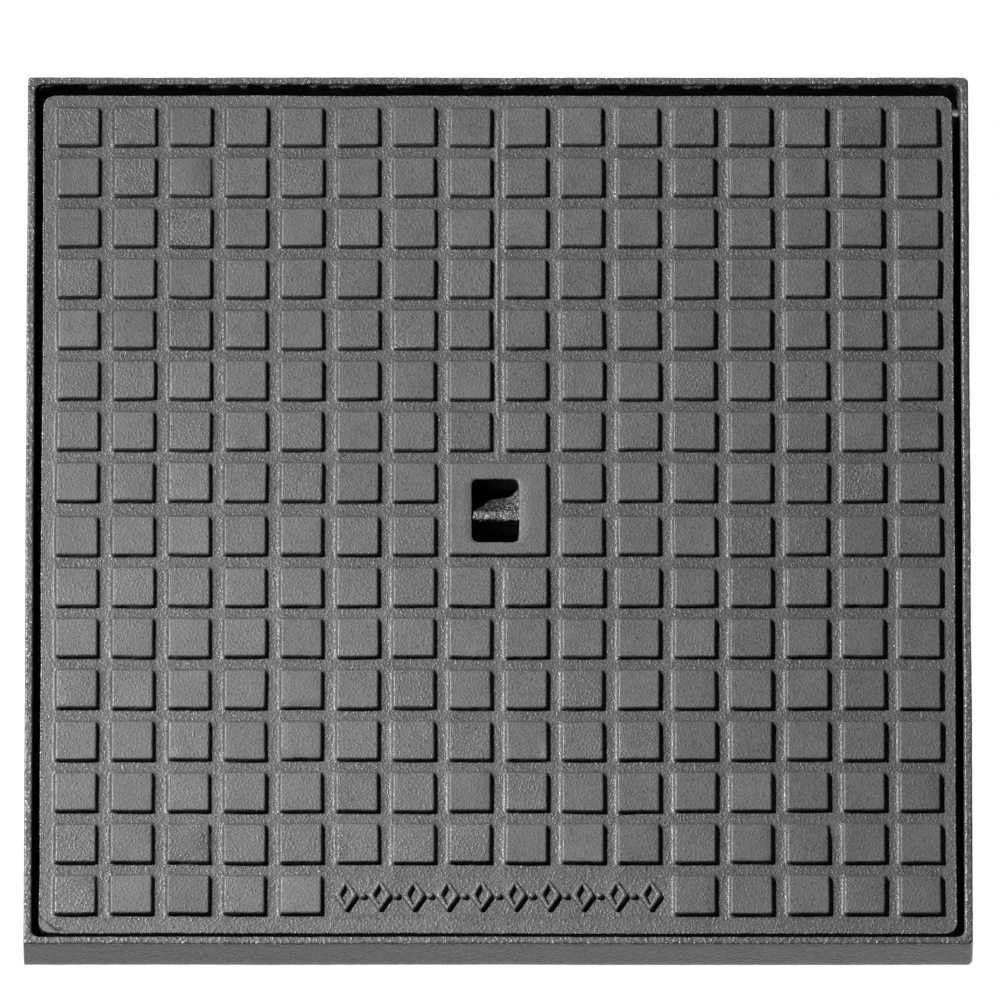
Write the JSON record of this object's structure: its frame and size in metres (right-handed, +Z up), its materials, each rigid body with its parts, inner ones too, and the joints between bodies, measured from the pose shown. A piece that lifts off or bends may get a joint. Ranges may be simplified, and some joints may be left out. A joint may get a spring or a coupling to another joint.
{
  "type": "manhole cover",
  "caption": "Square cast iron manhole cover with raised square treads and a barred keyhole for lifting, seated in a thin-rimmed square frame.",
  "frame": {"origin": "on the ground at the middle of the frame's underside", "axes": "+Z up out of the ground, +X to the right along a row of treads, +Y away from the row that holds the ornament"},
  "size_m": [0.6, 0.6, 0.035],
  "materials": {
    "frame_iron": "satin black bitumen paint on rough cast iron, edges a little worn",
    "cover_iron": "satin black bitumen paint on rough cast iron, treads smoother than the grooves"
  },
  "bodies": {
    "frame": {"frame": "frame_iron"},
    "cover": {"cover": "cover_iron"}
  },
  "joints": [
    {"name": "cover_lift", "type": "slide", "parent": "frame", "child": "cover", "axis": [0, 0, 1], "range_m": [0, 0.1]}
  ]
}
